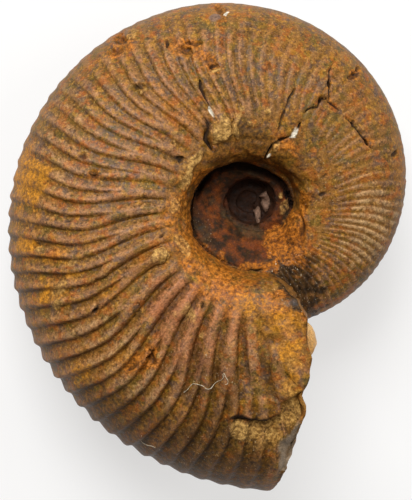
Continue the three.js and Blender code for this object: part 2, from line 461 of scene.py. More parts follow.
def grown(name, tree, inputs):
    """The plain mesh object that a Geometry Nodes tree makes, with its inputs set by their identifiers."""
    seed = bpy.data.objects.new(name + " seed", bpy.data.meshes.new(name + " seed"))
    bpy.context.collection.objects.link(seed)
    modifier = seed.modifiers.new(name, "NODES")
    modifier.node_group = tree
    for item in tree.interface.items_tree:
        if item.item_type == "SOCKET" and item.in_out == "INPUT":
            modifier[item.identifier] = inputs[item.name]
    return plain_mesh(name, seed)


def rows(source, name, width=3):
    """One property of a mesh's vertices as a numpy array, with a row for each vertex."""
    flat = np.empty(width * len(source), np.float32)
    source.foreach_get(name, flat)
    return flat.reshape(-1, width).astype(float) if width > 1 else flat.astype(float)


def set_mask(mesh, name, values):
    """Stores one number for each vertex, for the stone's material."""
    attribute = mesh.attributes.get(name) or mesh.attributes.new(name, "FLOAT", "POINT")
    attribute.data.foreach_set("value", np.clip(values, 0, 1).astype(np.float32))


def outer_radius(degrees):
    """Distance from the pole to the venter."""
    return APERTURE_RADIUS * WHORL_GROWTH ** ((degrees - APERTURE_ANGLE) / 360)


def smooth_step(value, low, high):
    """0 at low, 1 at high, and an even slope between them. low may be the higher of the two."""
    share = np.clip((value - low) / (high - low), 0, 1)
    return share * share * (3 - 2 * share)


LATTICE_SIZE = 61
LATTICE = np.random.default_rng(11).uniform(-1, 1, 3 * (LATTICE_SIZE,))


def unevenness(points, size, start):
    """Smooth random values from -1 to 1, with swellings and hollows of about this size."""
    place = points / size + start
    cell = np.floor(place).astype(int)
    share = place - cell
    share = share * share * (3 - 2 * share)
    total = np.zeros(len(points))
    for corner in np.ndindex(2, 2, 2):
        weight = np.prod(np.where(corner, share, 1 - share), axis=1)
        total += weight * LATTICE[tuple(((cell + corner) % LATTICE_SIZE).T)]
    return total


# The camera looks down along the coil axis, from a little towards the far left.
LENS = 120.0
SENSOR = 36.0
VIEW_HEIGHT = 61.6 * MM
VIEW_TILT = math.radians(7.2)
VIEW_TOWARDS = math.radians(118)
POLE_IN_VIEW = (5.28 * MM, 6.27 * MM)
TILT_AXIS = Vector((-math.sin(VIEW_TOWARDS), math.cos(VIEW_TOWARDS), 0))
VIEW_BACK = Matrix.Rotation(VIEW_TILT, 3, TILT_AXIS) @ Vector((0, 0, 1))
VIEW_RIGHT = (Vector((1, 0, 0)) - VIEW_BACK * VIEW_BACK.x).normalized()
VIEW_UP = VIEW_BACK.cross(VIEW_RIGHT)
EYE = VIEW_BACK * VIEW_HEIGHT * LENS / SENSOR - VIEW_RIGHT * POLE_IN_VIEW[0] - VIEW_UP * POLE_IN_VIEW[1]

# Laying down: the coil leans as the CAD node does, and then sits in the middle of its box.
LEAN = Matrix.Rotation(LEAN_ANGLE, 3, Vector((-math.sin(LEAN_TOWARDS), math.cos(LEAN_TOWARDS), 0)))


def seen_place(points):
    """Where points of the flat coil show against its middle plane from above, as complex numbers."""
    eye = np.array(EYE)
    share = eye[2] / (eye[2] - points[:, 2])
    return (eye[0] + (points[:, 0] - eye[0]) * share) + 1j * (eye[1] + (points[:, 1] - eye[1]) * share)


def spot(degrees, radii):
    """A place on the shell as it shows from above, as a complex number."""
    angle = math.radians(degrees)
    return radii * outer_radius(degrees) * complex(math.cos(angle), math.sin(angle))


def spots(places):
    """Several such places."""
    return [spot(degrees, radii) for degrees, radii in places]


def blotch(seen, place, along, across, turn=0.0, ragged=None):
    """A mask that is 1 inside an oval and 0 outside, with its length along the radius if turn is 0."""
    middle = spot(*place)
    unturn = complex(math.cos(math.radians(turn)), -math.sin(math.radians(turn)))
    offset = (seen - middle) * abs(middle) / middle * unturn
    distance = np.hypot(offset.real / (along / 2), offset.imag / (across / 2))
    if ragged is not None:
        distance = distance + 0.35 * ragged
    return smooth_step(distance, 1.25, 0.65)


def trail(seen, places, width, ends=0.25):
    """A mask along a bent line, 1 on the line and 0 half a width away, which tapers towards its ends."""
    corners = spots(places)
    best = np.full(len(seen), np.inf)
    for place, (a, b) in enumerate(zip(corners, corners[1:])):
        share = np.clip(((seen - a) * np.conj(b - a)).real / abs(b - a) ** 2, 0, 1)
        whole = (place + share) / (len(corners) - 1)
        half = width / 2 * np.minimum(1, (0.15 + np.minimum(whole, 1 - whole)) / (ends + 0.15))
        best = np.minimum(best, abs(seen - a - share * (b - a)) / half)
    return smooth_step(best, 1.15, 0.25)


# Damage, dirt and painted shade on the upper flank. Pits: place, length, width, turn, depth (mm), and how
# rusty they are.
PITS = [
    ((17.4, 0.95), 1.0, 0.6, 30, 0.25, 0.4),
    ((50.5, 0.965), 1.2, 0.6, 20, 0.35, 0.8),
    ((49.8, 0.925), 1.7, 0.7, -25, 0.35, 0.7),
    ((36.0, 0.757), 1.0, 0.5, 60, 0.30, 0.7),
    ((99.0, 0.965), 1.7, 0.8, 30, 0.45, 0.9),
    ((129.0, 0.962), 1.7, 1.2, 40, 0.50, 0.8),
    ((131.5, 0.925), 1.5, 0.8, 60, 0.40, 0.9),
    ((118.0, 0.855), 1.0, 0.45, -35, 0.40, 0.2),
    ((109.0, 0.815), 2.2, 0.6, 75, 0.40, 0.8),
    ((113.6, 0.795), 1.9, 0.9, 50, 0.50, 0.8),
    ((106.5, 0.705), 1.5, 1.0, 20, 0.25, 1.2),
    ((104.4, 0.685), 0.9, 0.7, 60, 0.30, 1.0),
    ((134.6, 0.735), 1.6, 0.9, 60, 0.40, 0.4),
    ((166.0, 0.745), 1.2, 1.0, 30, 0.35, 0.4),
    ((171.5, 0.675), 1.3, 1.0, -40, 0.45, 0.6),
    ((238.5, 0.69), 2.0, 0.9, 40, 0.55, 0.8),
    ((235.5, 0.77), 1.7, 0.7, -20, 0.30, 0.8),
    ((216.0, 0.735), 1.3, 0.6, 20, 0.45, 0.0),
    ((192.5, 0.89), 1.0, 0.7, 0, 0.25, 0.9),
    ((81.5, 0.71), 0.9, 0.5, 40, 0.15, 0.6),
    ((150.0, 0.36), 1.2, 0.7, 30, 0.30, 0.1),
    ((246.5, 0.42), 1.0, 0.7, 30, 0.40, 0.3),
    ((203.0, 0.38), 1.6, 0.6, 20, 0.35, 0.0),
    ((18.0, 0.50), 1.0, 0.4, 40, 0.12, 0.3),
    ((4.0, 0.47), 1.2, 0.5, 20, 0.15, 0.2),
]

# Cracks and furrows: width and depth (mm), how dark they are with painted shade, and places along them.
CRACKS = [
    (0.28, 0.35, 1.0, [(58.5, 0.893), (58.3, 0.849), (55.5, 0.791), (52.3, 0.740), (51.8, 0.722)]),
    (0.50, 0.45, 0.8, [(56.6, 0.810), (54.8, 0.775)]),
    (0.30, 0.35, 1.0, [
        (51.8, 0.722), (53.8, 0.712), (54.7, 0.684), (53.7, 0.651), (57.4, 0.599), (57.5, 0.569),
    ]),
    (0.75, 0.50, 0.9, [(52.9, 0.714), (54.5, 0.702), (54.6, 0.676)]),
    (0.34, 0.35, 1.0, [(51.6, 0.712), (50.6, 0.716), (44.8, 0.730)]),
    (0.28, 0.30, 1.0, [(41.1, 0.734), (36.1, 0.757), (32.7, 0.764), (27.7, 0.783), (22.9, 0.808)]),
    (0.50, 0.40, 0.8, [(27.4, 0.786), (24.4, 0.800)]),
    (0.50, 0.45, 1.0, [(112.8, 0.635), (113.7, 0.60), (113.4, 0.56), (113.9, 0.50)]),
    (0.85, 0.70, 1.0, [(114.5, 0.45), (117.5, 0.425), (121.5, 0.385), (126.0, 0.35), (127.2, 0.29)]),
    (0.40, 0.40, 1.0, [(56.0, 0.52), (55.4, 0.48)]),
    (0.45, 0.45, 1.0, [(58.0, 0.41), (62.5, 0.37), (66.5, 0.325), (69.5, 0.235)]),
    (0.42, 0.25, 0.7, [(68.0, 0.657), (68.3, 0.576), (68.4, 0.471), (66.8, 0.405)]),
    (0.50, 0.45, 0.9, [(101.0, 0.41), (104.0, 0.375), (105.5, 0.33)]),
    (1.10, 0.30, 0.35, [(275.5, 0.459), (277.2, 0.51), (278.3, 0.55), (277.4, 0.60)]),
    (1.30, 0.35, 0.45, [(275.2, 0.51), (276.0, 0.594), (277.5, 0.671), (278.9, 0.695)]),
    (1.00, 0.25, 0.30, [(268.4, 0.48), (269.8, 0.59), (270.7, 0.666)]),
    (0.35, 0.30, 0.7, [(282.4, 0.595), (284.0, 0.632), (285.2, 0.648)]),
    (1.50, 0.35, 0.5, [(278.6, 0.475), (280.0, 0.50)]),
]

# Crusts of pale clay: place, length, width, turn, and thickness (mm).
CRUSTS = [
    ((111.6, 0.362), 2.4, 3.6, 0, 0.75),
    ((107.5, 0.41), 1.4, 1.5, 0, 0.45),
    ((98.0, 0.42), 3.0, 0.7, -30, 0.35),
    ((101.5, 0.35), 2.2, 0.7, 0, 0.30),
    ((79.0, 0.475), 0.9, 1.1, 0, 0.20),
    ((87.5, 0.40), 1.0, 1.4, 0, 0.15),
    ((144.0, 0.43), 1.4, 2.6, 20, 0.20),
    ((143.0, 0.305), 1.2, 2.8, 0, 0.25),
    ((155.0, 0.31), 1.6, 3.6, 0, 0.25),
    ((163.0, 0.285), 1.0, 3.0, 0, 0.20),
    ((186.0, 0.31), 1.6, 3.2, 0, 0.20),
    ((205.3, 0.823), 2.6, 1.4, 30, 0.25),
    ((199.9, 0.741), 2.2, 1.2, 20, 0.20),
    ((206.7, 0.640), 2.4, 1.0, 30, 0.20),
    ((209.0, 0.860), 1.6, 1.2, 10, 0.25),
    ((193.6, 0.882), 1.0, 0.8, 0, 0.25),
    ((207.6, 0.706), 1.4, 0.7, 20, 0.15),
    ((213.0, 0.415), 2.4, 2.2, 0, 0.45),
    ((215.0, 0.315), 1.4, 3.6, 0, 0.20),
    ((242.5, 0.475), 2.6, 2.0, 30, 0.35),
    ((285.8, 0.57), 3.6, 3.4, 0, 0.05),
    ((283.0, 0.66), 3.0, 3.2, 0, 0.05),
    ((251.5, 0.515), 1.2, 0.9, 0, 0.25),
    ((238.0, 0.505), 1.2, 1.2, 0, 0.25),
    ((268.5, 0.82), 2.0, 2.8, -25, 0.25),
    ((134.6, 0.705), 0.6, 1.6, 0, 0.20),
    ((105.5, 0.665), 0.6, 1.5, 0, 0.15),
    ((126.1, 0.960), 1.2, 1.8, 0, 0.20),
    ((103.8, 0.668), 0.6, 1.2, 0, 0.15),
    ((240.5, 0.665), 0.9, 0.6, 0, 0.30),
    ((63.5, 0.33), 1.8, 0.8, 20, 0.20),
    ((6.0, 0.205), 0.8, 1.2, 0, 0.25),
    ((-12.0, 0.240), 1.3, 2.6, 0, 0.22),
]

# White calcite that fills two cracks.
CALCITE = [
    (0.55, [(54.8, 0.485), (55.2, 0.45), (56.5, 0.415)]),
    (0.60, [(113.8, 0.495), (114.3, 0.46), (114.6, 0.435)]),
    (0.30, [(66.0, 0.28), (67.5, 0.25)]),
    (0.50, [(98.4, 0.947), (96.9, 0.953)]),
]

# Crumbs of pale stone, two of them in the umbilicus: place, length, width, turn, and thickness (mm).
CRUMBS = [
    ((-3.0, 0.117), 1.1, 3.0, 0, 0.8),
    ((-58.0, 0.128), 0.8, 2.2, 60, 0.6),
    ((101.2, 0.922), 1.0, 1.7, 0, 0.3),
]

# Stains: place, length and width (mm), and strength. Mauve is bare stone, the sheen is a pale highlight
# painted on the crests of the ribs, and the brown patches are grime in the stone's pores and painted shade
# at the bottom edge.
RUST = [
    ((-50.9, 0.435), 3.6, 5.4, 0.8),
    ((-60.0, 0.36), 2.2, 3.0, 0.7),
    ((-33.0, 0.38), 2.4, 4.0, 0.6),
    ((-42.0, 0.62), 6.0, 4.5, 0.4),
    ((112.0, 0.80), 4.0, 3.4, 0.28),
    ((99.0, 0.96), 3.0, 4.0, 0.20),
    ((130.5, 0.94), 3.5, 3.6, 0.28),
    ((225.0, 0.30), 3.6, 10.0, 0.60),
    ((256.0, 0.30), 3.6, 8.0, 0.60),
    ((171.5, 0.66), 2.2, 1.6, 0.4),
    ((238.0, 0.70), 3.2, 2.6, 0.6),
    ((235.5, 0.77), 2.6, 3.0, 0.5),
    ((127.5, 0.55), 7.0, 4.0, 0.4),
    ((272.0, 0.36), 2.2, 4.0, 0.6),
    ((284.0, 0.36), 2.6, 3.0, 0.7),
    ((250.0, 0.40), 5.0, 5.0, 0.35),
    ((53.7, 0.70), 2.6, 2.0, 0.5),
    ((26.0, 0.79), 1.8, 1.2, 0.6),
    ((55.6, 0.79), 1.4, 1.0, 0.5),
    ((60.0, 0.45), 5.0, 4.0, 0.4),
    ((276.1, 0.228), 1.1, 4.4, 1.0),
    ((214.0, 0.66), 3.0, 3.0, 0.4),
    ((196.0, 0.80), 2.0, 2.0, 0.5),
]

OCHRE = [
    ((183.0, 0.94), 4.0, 26.0, 0.40),
    ((285.5, 0.56), 4.0, 3.5, 0.60),
    ((283.0, 0.66), 3.5, 3.5, 0.60),
    ((174.5, 0.93), 3.6, 5.2, 1.0),
    ((205.0, 0.83), 5.0, 3.0, 0.5),
    ((197.0, 0.80), 4.0, 2.6, 0.35),
    ((191.5, 0.93), 2.2, 1.6, 0.8),
    ((226.0, 0.93), 2.6, 2.4, 0.6),
    ((232.0, 0.78), 4.0, 2.0, 0.4),
    ((181.0, 0.80), 5.0, 3.0, 0.2),
    ((268.0, 0.36), 2.0, 3.6, 0.5),
    ((287.0, 0.52), 3.0, 4.5, 0.5),
    ((279.0, 0.42), 5.0, 4.0, 0.45),
    ((290.0, 0.43), 3.0, 4.0, 0.6),
]

# Very dark patches: partly dark crust with pale specks, partly painted shadow under the lip of the mouth and
# painted shade at the bottom edge.
BLACK_AND_SHADOW = [
    ((-59.5, 0.72), 7.0, 5.0, 1.0),
    ((-63.0, 0.86), 6.5, 2.6, 1.0),
    ((-50.0, 0.60), 3.0, 3.6, 0.6),
    ((258.0, 0.64), 6.0, 9.0, 0.45),
    ((262.0, 0.90), 6.0, 12.0, 0.45),
    ((5.0, 0.46), 4.0, 3.0, 0.5),
    ((24.0, 0.55), 3.0, 3.0, 0.3),
    ((205.1, 0.214), 1.6, 6.5, 0.6),
]

MAUVE = [
    ((287.3, 0.45), 3.6, 2.6, 0.6),
    ((286.3, 0.575), 4.0, 3.6, 0.55),
    ((281.5, 0.66), 2.6, 3.0, 0.3),
    ((247.0, 0.52), 12.0, 11.0, 0.7),
    ((232.0, 0.45), 7.0, 6.0, 0.4),
    ((150.0, 0.60), 6.0, 3.0, 0.4),
    ((128.0, 0.72), 5.0, 3.0, 0.4),
    ((178.0, 0.62), 8.0, 3.0, 0.4),
]

# Painted sheen: pale highlights painted on the crests of the ribs at the right edge and on the left and
# lower flank.
PAINTED_SHEEN = [
    ((-12.0, 0.83), 5.0, 10.0, 0.8),
    ((232.0, 0.76), 7.0, 15.0, 0.5),
    ((168.0, 0.86), 5.0, 18.0, 0.4),
]

# Brown patches: partly grime in the stone's pores, partly painted shade along the bottom edge and by the top
# of the umbilicus.
SOOT_AND_SHADE = [
    ((252.0, 0.93), 9.0, 22.0, 0.8),
    ((266.0, 0.93), 7.0, 12.0, 0.7),
    ((236.0, 0.96), 6.0, 14.0, 0.5),
    ((262.0, 0.68), 9.0, 7.0, 0.5),
    ((98.0, 0.87), 10.0, 36.0, 0.22),
    ((95.0, 0.50), 7.0, 3.0, 0.3),
    ((70.0, 0.36), 3.0, 6.0, 0.5),
    ((100.0, 0.30), 3.0, 5.0, 0.5),
]

# A chip at the mouth: (degrees, outer radii) along the edge that it starts at, and its depth.
CHIP_EDGE = [(262, 0.80), (267.7, 0.766), (275.2, 0.770), (278.7, 0.745), (279.5, 0.705), (285.4, 0.671)]
CHIP_DEPTH = 0.9 * MM

# A facet of fresh stone: (outer radii, degrees) along the edge that it starts at, and its fall in a degree.
FACET_EDGE = [
    (0.770, 310.0), (0.788, 282.6), (0.811, 280.4), (0.839, 278.7), (0.853, 277.2), (0.943, 276.8),
    (0.97, 310.0),
]
FACET_FALL = 0.42 * MM

# The umbilicus as it shows from above: a round pit, and (degrees, millimetres) from its middle out to the
# ring that is the umbilical edge.
PIT_MIDDLE = complex(0.22, -0.15) * MM
PIT_RADIUS = 3.0 * MM
PIT_EDGE_HEIGHT = 3.0 * MM
RING = [
    (0, 5.4), (25, 4.9), (50, 4.3), (80, 4.4), (105, 4.9), (145, 6.1), (185, 7.4), (215, 8.2), (245, 8.3),
    (270, 8.8), (290, 9.0), (315, 9.0), (335, 7.6), (350, 6.0), (360, 5.4),
]


def umbilicus_places(seen):
    """Distance from the middle of the pit, distance to the ring there, and the angle between 0 and 360."""
    offset = seen - PIT_MIDDLE
    angles = np.degrees(np.angle(offset)) % 360
    return abs(offset), np.interp(angles, *zip(*RING)) * MM, angles


def sink_umbilicus(points, degrees, is_upper):
    """Lets the inner whorls of the upper side down into a funnel that ends in a round pit."""
    height = points[:, 2].copy()
    for _ in range(3):
        distance, ring, _ = umbilicus_places(seen_place(points))
        whorls_inside = is_upper & (distance < ring)
        share = np.where(degrees < LAST_WHORL_FROM, 1.0, smooth_step(degrees, -5, -30)) * whorls_inside
        slope = smooth_step(distance, 0.9 * PIT_RADIUS, ring) ** 0.8
        sunk = PIT_EDGE_HEIGHT + (height - PIT_EDGE_HEIGHT) * slope
        bottom = 0.35 * height
        sunk += (bottom - sunk) * smooth_step(distance, 1.02 * PIT_RADIUS, 0.84 * PIT_RADIUS)
        points[:, 2] = height + (np.minimum(sunk, height) - height) * share


def seen_on_coil(seen, degrees):
    """The degrees and outer radii at which points show, near their own degrees."""
    turned = degrees + (np.degrees(np.angle(seen)) - degrees + 180) % 360 - 180
    return turned, abs(seen) / outer_radius(turned)


def cut_facet(points, degrees, reach):
    """Cuts a flat sloping facet off the upper edge of the mouth, and gives its mask."""
    turned, radii = seen_on_coil(seen_place(points), degrees)
    beyond = np.clip(turned - np.interp(radii, *zip(*FACET_EDGE)), 0, 6) * (degrees > NEAR_MOUTH)
    out = np.clip((reach - CENTRE) / VENTER_DEPTH, 0, 1)
    skin = HALF_WIDTH * outer_radius(degrees) * (1 - out ** VENTER_POWER) ** (1 / VENTER_POWER)
    plane = skin - FACET_FALL * beyond
    is_cut = (beyond > 0) & (points[:, 2] > plane)
    points[:, 2] = np.where(is_cut, plane, points[:, 2])
    return is_cut * smooth_step(beyond, 0.05, 0.3)


def read_skin(mesh):
    """The cast's skin, once its umbilicus and its facet have their shape, with a row for each vertex.

    lift is how far each vertex is to move out, and masks holds what the stone's material reads.
    """
    skin = SimpleNamespace()
    skin.points = rows(mesh.vertices, "co")
    degrees, skin.reach, broken = (
        rows(mesh.attributes[name].data, "value", 1) for name in ("degrees", "reach", "broken"))
    skin.degrees = np.where(degrees == 0, COIL_FROM, degrees)
    skin.broken = (broken > 0.5) & (skin.degrees > BROKEN_AFTER)
    skin.is_upper = (skin.points[:, 2] > 0) & ~skin.broken
    sink_umbilicus(skin.points, skin.degrees, skin.is_upper)
    skin.facet = cut_facet(skin.points, skin.degrees, skin.reach)
    mesh.vertices.foreach_set("co", skin.points.astype(np.float32).ravel())
    mesh.update()
    skin.normals = rows(mesh.vertex_normals, "vector")
    skin.seen = seen_place(skin.points)
    skin.on_last_whorl = skin.degrees > LAST_WHORL_FROM
    skin.at_mouth = skin.is_upper & (skin.degrees > NEAR_MOUTH)
    skin.fine, skin.small, skin.middle, skin.large = (
        unevenness(skin.points, size * MM, start) for size, start in
        ((0.3, 3.1), (0.65, 7.7), (1.5, 1.3), (3.6, 5.9)))
    skin.lift = (0.016 * skin.fine + 0.022 * skin.small + 0.02 * skin.middle + 0.05 * skin.large) * MM
    skin.masks = {name: np.zeros(len(skin.points)) for name in (
        "hollow_shade", "mauve", "rust", "ochre", "crust", "black_and_shadow",
        "calcite", "crumb", "core", "umber_and_shade", "soot_and_shade", "painted_sheen",
    )}
    return skin


def weather_umbilicus(skin):
    """A cleft under the umbilical edge at the top and right, with painted shadow in it, and a thin crack
    round the rest.
    """
    shaken = skin.seen + 0.12 * MM * (skin.middle + 1j * skin.large)
    distance, ring, angles = umbilicus_places(shaken)
    within = ring - distance
    inside = np.where(skin.on_last_whorl, smooth_step(skin.degrees, -5, -40), 1.0)
    inner = skin.is_upper * inside * smooth_step(within, -0.2 * MM, 0.5 * MM)
    cleft = smooth_step(within, 1.15 * MM, 0.75 * MM) * smooth_step(within, -0.3 * MM, 0.1 * MM)
    cleft *= np.maximum(smooth_step(angles, 190, 160), 0.7 * smooth_step(angles, 316, 334)) * inner
    crack = smooth_step(abs(within - 0.1 * MM), 0.2 * MM, 0.05 * MM)
    crack *= smooth_step(angles, 150, 165) * smooth_step(angles, 288, 276) * skin.is_upper
    skin.lift -= (1.3 * cleft + 0.4 * crack) * MM
    # Painted shadow in the cleft, and painted shade in the crack.
    skin.masks["hollow_shade"] += 1.6 * cleft + 0.7 * crack * (1 + 0.6 * skin.middle)
    upper_well = smooth_step(within, -0.2 * MM, 0.3 * MM)
    upper_pit = smooth_step(distance, 1.35 * PIT_RADIUS, 0.8 * PIT_RADIUS)
    # Painted shade of the deep umbilicus and of the whorl under the broken mouth, over the stone's own
    # darker colour.
    skin.masks["well"] = np.where(skin.is_upper, upper_well, smooth_step(skin.degrees, -60, -80)) * inside
    skin.masks["pit"] = np.where(skin.is_upper, upper_pit, skin.degrees < -430)
    skin.lift += inner * (0.12 * skin.small + 0.20 * skin.middle + 0.15 * skin.large) * MM


def weather_mouth(skin):
    """The broken face with its core, the worn edge of the mouth, and the chip and the facet in that edge."""
    small, middle, large = skin.small, skin.middle, skin.large
    skin.lift += np.where(skin.broken, (0.06 * small + 0.13 * middle + 0.20 * large) * MM, 0)
    height = skin.points[:, 2] / outer_radius(skin.degrees)
    from_core = np.hypot(skin.reach - CORE_PLACE[0], height - CORE_PLACE[1])
    skin.masks["core"] += smooth_step(from_core, 0.115, 0.08) * skin.broken

    # The chip is a ledge that rises again towards the venter.
    turned, radii = seen_on_coil(skin.seen, skin.degrees)
    worn = skin.at_mouth * smooth_step(turned, 264, 276) * smooth_step(radii, 0.85, 0.7)
    skin.lift += worn * (0.30 * large + 0.24 * middle + 0.06 * small) * MM
    into = radii - np.interp(turned, *zip(*CHIP_EDGE)) + 0.006 * middle
    chip = skin.at_mouth * smooth_step(turned, 263, 272) * smooth_step(into, -0.004, 0.008)
    chip *= smooth_step(into, 0.15, 0.05)
    skin.lift -= CHIP_DEPTH * chip * (1 + 0.25 * middle + 0.15 * small)
    skin.masks["crust"] += 0.75 * chip
    skin.masks["ochre"] += 0.55 * chip
    # Painted shadow along the edge of the chip.
    edge = smooth_step(turned, 262, 268) * smooth_step(turned, 279, 275)
    skin.masks["hollow_shade"] += skin.at_mouth * edge * smooth_step(abs(into), 0.014, 0.005)
    skin.lift *= 1 - 0.8 * skin.facet
    skin.masks["facet"] = skin.facet


def weather_shoulder(skin):
    """Clay and rust round the umbilical shoulder, in streaks along the coil, and a darkening of the shoulder
    that is brown stain and painted shade, strongest at the top.
    """
    reach, small, middle, large = skin.reach, skin.small, skin.middle, skin.large
    shoulder = smooth_step(reach, 0.41, 0.33) * smooth_step(reach, 0.2, 0.24) * skin.on_last_whorl
    along_coil = np.stack([skin.degrees / 9, reach * 42, np.sign(skin.points[:, 2])], 1)
    streaks = unevenness(along_coil, 1.0, 4.4)
    clay = smooth_step(0.6 * streaks + 0.6 * middle + 0.4 * large, 0.2, 0.6)
    skin.masks["crust"] += shoulder * clay * 0.3
    skin.masks["rust"] += shoulder * smooth_step(0.7 * streaks - 0.5 * large, -0.3, 0.5) * 0.85
    # Painted shade on the shoulder, darkest at the top where the funnel slopes away from the light.
    shade_at_top = 0.62 + 0.32 * np.cos(np.radians(skin.degrees - 85))
    skin.masks["umber_and_shade"] += smooth_step(reach, 0.5, 0.3) * skin.on_last_whorl * (shade_at_top + 0.3 * middle)
    lumps = 0.10 * skin.masks["crust"] + 0.11 * shoulder * (streaks + small + middle)
    skin.lift += lumps * MM * ~skin.at_mouth


def weather_spots(skin):
    """The pits, cracks, crusts, crumbs, calcite and stains that have places of their own, with painted shade
    in the pits and cracks and painted shade, shadow and sheen among the stains.
    """
    seen, small, middle, large = skin.seen, skin.small, skin.middle, skin.large
    outer = skin.is_upper & skin.on_last_whorl
    ragged = 0.7 * middle + 0.8 * small
    torn = 0.9 * middle + 1.3 * small + 0.9 * skin.fine
    for place, along, across, turn, depth, rusty in PITS:
        pit = blotch(seen, place, along * MM, across * MM, turn, torn) * outer
        rim = blotch(seen, place, 2.2 * along * MM, 2.2 * across * MM, turn, ragged) * outer
        skin.lift -= depth * MM * pit
        # Shade painted into the pit, less into the rusty ones.
        skin.masks["hollow_shade"] += pit * (0.8 - 0.3 * rusty)
        skin.masks["rust"] += 0.5 * rusty * rim
    shaken = seen + 0.06 * MM * (middle + small + 1j * (large - small))
    for width, depth, dark, places in CRACKS:
        crack = trail(shaken, places, width * MM) * outer
        skin.lift -= depth * MM * crack
        # Shade painted into the crack.
        skin.masks["hollow_shade"] += dark * crack
    for name, lumps in (("crust", CRUSTS), ("crumb", CRUMBS)):
        for place, along, across, turn, thickness in lumps:
            edges = (1.1 if name == "crust" else 0.3) * ragged
            lump = blotch(seen, place, along * MM, across * MM, turn, edges) * skin.is_upper
            skin.lift += thickness * MM * lump * (0.8 + 0.3 * middle + 0.15 * small)
            skin.masks[name] += lump * min(1, 0.4 + thickness)
            skin.masks["hollow_shade"] -= lump
    for width, places in CALCITE:
        skin.masks["calcite"] += trail(seen, places, width * MM) * outer
    for name, stains in (
        ("painted_sheen", PAINTED_SHEEN), ("mauve", MAUVE), ("soot_and_shade", SOOT_AND_SHADE),
        ("rust", RUST), ("ochre", OCHRE), ("black_and_shadow", BLACK_AND_SHADOW),
    ):
        for place, along, across, amount in stains:
            stain = blotch(seen, place, 1.2 * along * MM, 1.2 * across * MM, 0, 1.4 * ragged)
            skin.masks[name] += amount * stain * skin.is_upper


def weather(mesh):
    """Wears, breaks and soils the cast's skin, and stores the masks that its material reads, painted shade,
    shadow and sheen among them.
    """
    skin = read_skin(mesh)
    weather_umbilicus(skin)
    weather_mouth(skin)
    weather_shoulder(skin)
    weather_spots(skin)
    points = skin.points + skin.normals * skin.lift[:, None]
    mesh.vertices.foreach_set("co", points.astype(np.float32).ravel())
    skin.masks["broken"] = skin.broken * 1.0
    for name, values in skin.masks.items():
        set_mask(mesh, name, values)
    mesh.update()


def thin_out(piece):
    """Fewer triangles where the surface is plain."""
    triangles = sum(len(polygon.vertices) - 2 for polygon in piece.data.polygons)
    if triangles <= MOST_TRIANGLES:
        return piece
    modifier = piece.modifiers.new("fewer triangles", "DECIMATE")
    modifier.ratio = MOST_TRIANGLES / triangles
    name = piece.name
    piece.name = name + " fine"
    thinned = plain_mesh(name, piece)

    # A few faces are left that hang on the surface by one edge.
    surface = bmesh.new()
    surface.from_mesh(thinned.data)
    fins = [face for face in surface.faces if sum(edge.is_boundary for edge in face.edges) > 1]
    bmesh.ops.delete(surface, geom=fins, context="FACES")
    surface.to_mesh(thinned.data)
    surface.free()
    return thinned


STONE_MASKS = (
    "rib", "foot", "strength", "broken", "core", "hollow_shade", "mauve", "rust", "ochre", "crust",
    "crumb", "black_and_shadow", "calcite", "well", "pit", "umber_and_shade", "soot_and_shade", "facet", "painted_sheen",
)

# The mottling of the stone: the size of its swellings in millimetres, and its detail. The grains of real
# limestone are down to a hundredth of a millimetre, and grit is drawn as coarse as it needs to show.
GRAINS = {
    "grit": (0.09, 1.0),
    "specks": (0.19, 2.0),
    "blots": (0.7, 3.0),
    "patches": (1.7, 3.0),
    "clouds": (5.0, 4.0),
    "slate": (0.6, 3.0),
    "olive": (0.8, 3.0),
    "rusty": (0.7, 3.0),
    "golden": (0.4, 3.0),
}
SWELLINGS_IN_PERIOD = 2.2


def stone_grains(tree):
    """A noise for each of the grains, each in a place of its own."""
    place = add(tree, "ShaderNodeTexCoord").outputs["Object"]
    noises = {}
    for count, (name, (size, detail)) in enumerate(GRAINS.items()):
        shifted = add(tree, "ShaderNodeVectorMath", [place, (0.31 * count, 0.7, 0.3)], operation="ADD")
        noises[name] = add(tree, NOISE, {
            "Vector": shifted,
            "Scale": 1 / (SWELLINGS_IN_PERIOD * size * MM),
            "Detail": detail,
            "Roughness": 0.6,
        }).outputs["Fac"]
    return noises


def bare_stone(tree, mask, noises, on_crest):
    """The plain stone, and the ribs: rubbed mauve-brown crests over olive-brown furrows."""
    by_patch = add(tree, RANGE, [noises["patches"], 0.38, 0.62])
    plain = add(tree, MIX, [by_patch, linear("#5E3F15"), linear("#7E551E")], data_type="RGBA")
    by_blot = add(tree, RANGE, [noises["blots"], 0.38, 0.62])
    furrow = add(tree, MIX, [by_blot, linear("#4A300C"), linear("#6A4711")], data_type="RGBA")
    crest = add(tree, MIX, [by_blot, linear("#7E583C"), linear("#946A46")], data_type="RGBA")
    ribbed = add(tree, MIX, [on_crest, furrow, crest], data_type="RGBA")
    ribs_show = add(tree, RANGE, [mask["strength"], 0.1, 0.5, 0.15, 0.85])
    return add(tree, MIX, [ribs_show, plain, ribbed], data_type="RGBA")


